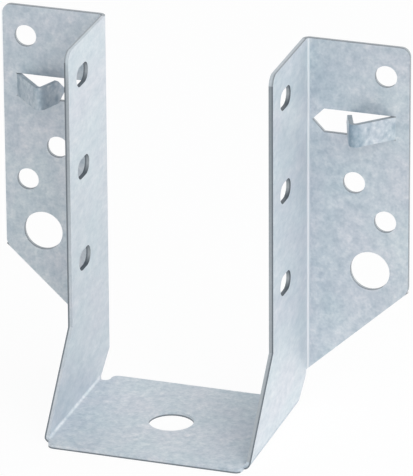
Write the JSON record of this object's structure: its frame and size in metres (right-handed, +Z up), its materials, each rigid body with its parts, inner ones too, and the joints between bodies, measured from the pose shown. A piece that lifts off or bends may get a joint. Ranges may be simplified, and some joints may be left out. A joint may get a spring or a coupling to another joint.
{
  "type": "joist hanger",
  "caption": "One-piece folded sheet joist hanger: a U-shaped channel with a forward seat, nailing flanges, slotted side walls and a bent positioning prong in each flange.",
  "frame": {"origin": "centre of the upper face of the seat, on the axis of the seat hole", "axes": "+X across the joist to the right seen from the front, +Y along the joist into the header beam, +Z up; the hanger is its own mirror image in the plane X = 0"},
  "size_m": [0.093, 0.0445, 0.0845],
  "materials": {
    "galvanised_steel": "pre-galvanised sheet, satin grey with a faint zinc mottle, bare cut edges"
  },
  "bodies": {
    "root": {"joist_hanger": "galvanised_steel"}
  },
  "joints": []
}
